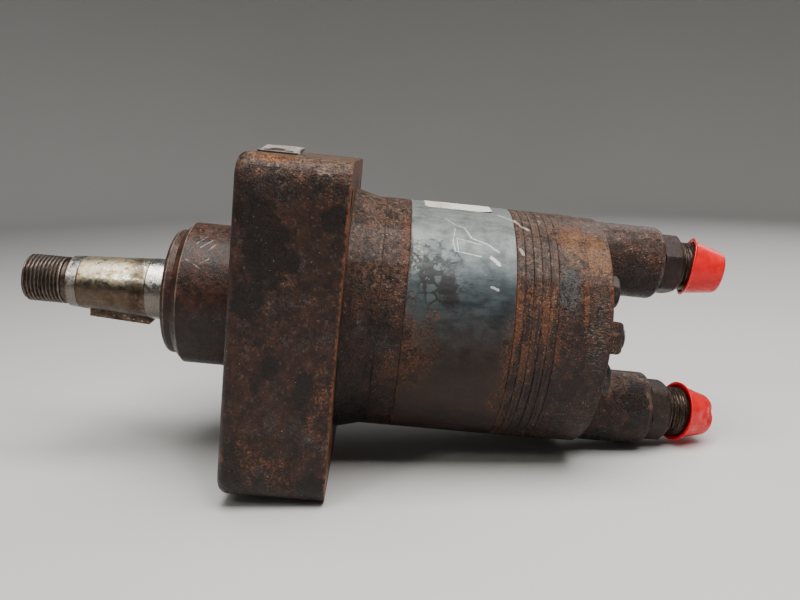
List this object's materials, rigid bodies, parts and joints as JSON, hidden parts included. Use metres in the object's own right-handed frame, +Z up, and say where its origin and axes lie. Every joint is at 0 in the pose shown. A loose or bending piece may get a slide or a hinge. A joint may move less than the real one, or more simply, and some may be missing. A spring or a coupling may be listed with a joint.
{
  "type": "hydraulic motor",
  "caption": "Orbital hydraulic motor with a square flange, a keyed taper shaft with a threaded end, and two capped rear ports.",
  "frame": {"origin": "on the shaft axis, in the plane of the flange's mounting face", "axes": "+X along the shaft axis from the shaft end to the rear ports, +Z up towards the upper port, -Y the front"},
  "size_m": [0.4749, 0.2, 0.2045],
  "materials": {
    "casting": "rough casting, oil-stained and rusty",
    "machined": "ground steel, aged, with stains",
    "shaft_steel": "bright ground steel with light stains",
    "bearing_steel": "polished bearing steel",
    "fastener": "black-oxide steel, rusty",
    "adapter_steel": "dark plated steel, oily",
    "rubber": "matte",
    "cap_plastic": "glossy, slightly translucent",
    "brass": "satin",
    "tag": "dull, weathered",
    "paper": "soiled paper"
  },
  "bodies": {
    "motor": {"housing": "casting", "dust_seal": "rubber", "shaft_seal": "rubber", "backup_washer": "shaft_steel", "front_outer_race": "bearing_steel", "rear_outer_race": "bearing_steel", "thrust_washer_fixed": "bearing_steel", "wear_plate": "machined", "geroler_ring": "machined", "manifold_plate_1": "machined", "manifold_plate_2": "machined", "manifold_plate_3": "machined", "manifold_plate_4": "machined", "manifold_plate_5": "machined", "commutator_ring": "machined", "end_cover": "casting", "cover_bolts": "fastener", "section_seals": "rubber", "port_adapter_upper": "adapter_steel", "port_adapter_lower": "adapter_steel", "port_seals": "rubber", "drain_plug": "fastener", "name_plate": "tag", "plate_screws": "fastener", "label": "paper"},
    "shaft": {"output_shaft": "shaft_steel", "shaft_key": "shaft_steel", "front_inner_race": "bearing_steel", "rear_inner_race": "bearing_steel", "thrust_washer_turning": "bearing_steel"},
    "front_roller_set": {"front_cage": "brass", "front_rollers": "bearing_steel"},
    "rear_roller_set": {"rear_cage": "brass", "rear_rollers": "bearing_steel"},
    "thrust_roller_set": {"thrust_cage": "brass", "thrust_rollers": "bearing_steel"},
    "orbit": {"link_spacer": "shaft_steel"},
    "rotor_body": {"rotor": "shaft_steel"},
    "link_body": {"drive_link": "shaft_steel"},
    "commutator_body": {"commutator": "shaft_steel", "commutator_seal": "rubber"},
    "upper_cap_body": {"cap_upper": "cap_plastic"},
    "lower_cap_body": {"cap_lower": "cap_plastic"},
    "geroler_roller_1_body": {"geroler_roller_1": "bearing_steel"},
    "geroler_roller_2_body": {"geroler_roller_2": "bearing_steel"},
    "geroler_roller_3_body": {"geroler_roller_3": "bearing_steel"},
    "geroler_roller_4_body": {"geroler_roller_4": "bearing_steel"},
    "geroler_roller_5_body": {"geroler_roller_5": "bearing_steel"},
    "geroler_roller_6_body": {"geroler_roller_6": "bearing_steel"},
    "geroler_roller_7_body": {"geroler_roller_7": "bearing_steel"}
  },
  "joints": [
    {"name": "shaft_spin", "type": "hinge", "parent": "motor", "child": "shaft", "pos_m": [0, 0, 0], "axis": [1, 0, 0], "continuous": true},
    {"name": "front_rollers_spin", "type": "hinge", "parent": "motor", "child": "front_roller_set", "pos_m": [-0.021, 0, 0], "axis": [1, 0, 0], "continuous": true},
    {"name": "rear_rollers_spin", "type": "hinge", "parent": "motor", "child": "rear_roller_set", "pos_m": [0.034, 0, 0], "axis": [1, 0, 0], "continuous": true},
    {"name": "thrust_rollers_spin", "type": "hinge", "parent": "motor", "child": "thrust_roller_set", "pos_m": [0.052, 0, 0], "axis": [1, 0, 0], "continuous": true},
    {"name": "orbit_spin", "type": "hinge", "parent": "motor", "child": "orbit", "pos_m": [0.132, 0, 0], "axis": [1, 0, 0], "continuous": true},
    {"name": "rotor_spin", "type": "hinge", "parent": "orbit", "child": "rotor_body", "pos_m": [0.132, 0, -0.0042], "axis": [1, 0, 0], "continuous": true},
    {"name": "link_spin", "type": "hinge", "parent": "orbit", "child": "link_body", "pos_m": [0.058, 0, 0], "axis": [0.9984, 0, -0.0567], "continuous": true},
    {"name": "commutator_spin", "type": "hinge", "parent": "orbit", "child": "commutator_body", "pos_m": [0.19975, 0, -0.00805], "axis": [1, 0, 0], "continuous": true},
    {"name": "roller_spin_1", "type": "hinge", "parent": "motor", "child": "geroler_roller_1_body", "pos_m": [0.132, 0, -0.046], "axis": [1, 0, 0], "continuous": true},
    {"name": "roller_spin_2", "type": "hinge", "parent": "motor", "child": "geroler_roller_2_body", "pos_m": [0.132, 0.03596, -0.02868], "axis": [1, 0, 0], "continuous": true},
    {"name": "roller_spin_3", "type": "hinge", "parent": "motor", "child": "geroler_roller_3_body", "pos_m": [0.132, 0.04485, 0.01024], "axis": [1, 0, 0], "continuous": true},
    {"name": "roller_spin_4", "type": "hinge", "parent": "motor", "child": "geroler_roller_4_body", "pos_m": [0.132, 0.01996, 0.04144], "axis": [1, 0, 0], "continuous": true},
    {"name": "roller_spin_5", "type": "hinge", "parent": "motor", "child": "geroler_roller_5_body", "pos_m": [0.132, -0.01996, 0.04144], "axis": [1, 0, 0], "continuous": true},
    {"name": "roller_spin_6", "type": "hinge", "parent": "motor", "child": "geroler_roller_6_body", "pos_m": [0.132, -0.04485, 0.01024], "axis": [1, 0, 0], "continuous": true},
    {"name": "roller_spin_7", "type": "hinge", "parent": "motor", "child": "geroler_roller_7_body", "pos_m": [0.132, -0.03596, -0.02868], "axis": [1, 0, 0], "continuous": true},
    {"name": "upper_cap_pull", "type": "slide", "parent": "motor", "child": "upper_cap_body", "axis": [1, 0, 0], "range_m": [0, 0.03]},
    {"name": "lower_cap_pull", "type": "slide", "parent": "motor", "child": "lower_cap_body", "axis": [1, 0, 0], "range_m": [0, 0.03]}
  ],
  "couplings": [
    {"joint": "front_rollers_spin", "follows": "shaft_spin", "ratio": 0.4375},
    {"joint": "rear_rollers_spin", "follows": "shaft_spin", "ratio": 0.44286},
    {"joint": "thrust_rollers_spin", "follows": "shaft_spin", "ratio": 0.5},
    {"joint": "orbit_spin", "follows": "shaft_spin", "ratio": -6},
    {"joint": "rotor_spin", "follows": "shaft_spin", "ratio": 7},
    {"joint": "link_spin", "follows": "shaft_spin", "ratio": 7},
    {"joint": "commutator_spin", "follows": "shaft_spin", "ratio": 7}
  ]
}
